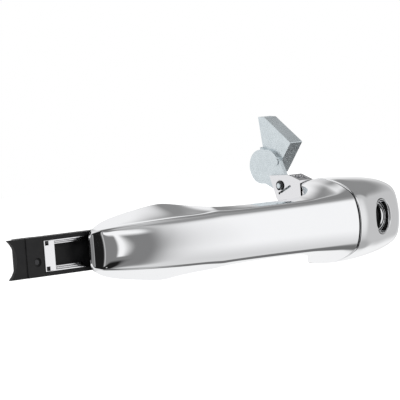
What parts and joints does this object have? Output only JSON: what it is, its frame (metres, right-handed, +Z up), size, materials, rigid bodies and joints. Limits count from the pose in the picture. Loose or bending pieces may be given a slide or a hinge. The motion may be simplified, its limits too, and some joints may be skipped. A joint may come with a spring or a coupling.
{
  "type": "car door handle",
  "caption": "Chrome pull-type exterior car door handle with a keyhole cap, hinge arm and counterweight lever.",
  "frame": {"origin": "lock bore axis at the plane of the door skin, at mid height", "axes": "+X from the hinge end towards the lock end, -Y out of the door (the side that shows), +Y into the door, +Z up; the door skin is the plane Y = 0"},
  "size_m": [0.267, 0.079, 0.0848],
  "materials": {
    "chrome": "bright chrome plating on moulded plastic",
    "chrome_steel": "bright plated pressed steel",
    "black_nylon": "matte moulded, fine texture",
    "zinc": "blue bright zinc plating, satin",
    "rubber": "soft matte",
    "brass": "turned",
    "acetal": "smooth natural",
    "spring_steel": "drawn wire",
    "black_steel": "black oxide"
  },
  "bodies": {
    "cap": {"cap_cover": "chrome", "cap_frame": "black_nylon", "keyhole_bezel": "chrome", "cap_gasket": "rubber", "edge_insert": "brass", "cap_screws": "zinc"},
    "grip": {"grip_cover": "chrome", "grip_back": "chrome", "hinge_arm": "black_nylon", "pocket_liner": "chrome_steel", "hinge_shoe": "black_nylon", "shoe_pin": "black_steel", "arm_screws": "zinc", "front_pad": "rubber", "clevis_bracket": "chrome_steel", "bracket_screws": "zinc", "rear_bumper": "rubber", "lever_pin": "zinc", "e_clip": "black_steel", "torsion_spring": "spring_steel"},
    "lever": {"bellcrank_lever": "zinc", "counterweight": "zinc", "counterweight_rivet": "zinc", "lever_bush": "acetal"}
  },
  "joints": [
    {"name": "grip_pull", "type": "hinge", "parent": "cap", "child": "grip", "pos_m": [-0.229, 0.00875, 0], "axis": [0, 0, -1], "range_deg": [0, 9]},
    {"name": "lever_swing", "type": "hinge", "parent": "grip", "child": "lever", "pos_m": [-0.0325, 0.0167, 0.0213], "axis": [-1, 0, 0], "range_deg": [0, 24], "stiffness_Nm_per_rad": 0.06, "springref_deg": -28.65, "deforming": ["torsion_spring"]}
  ]
}
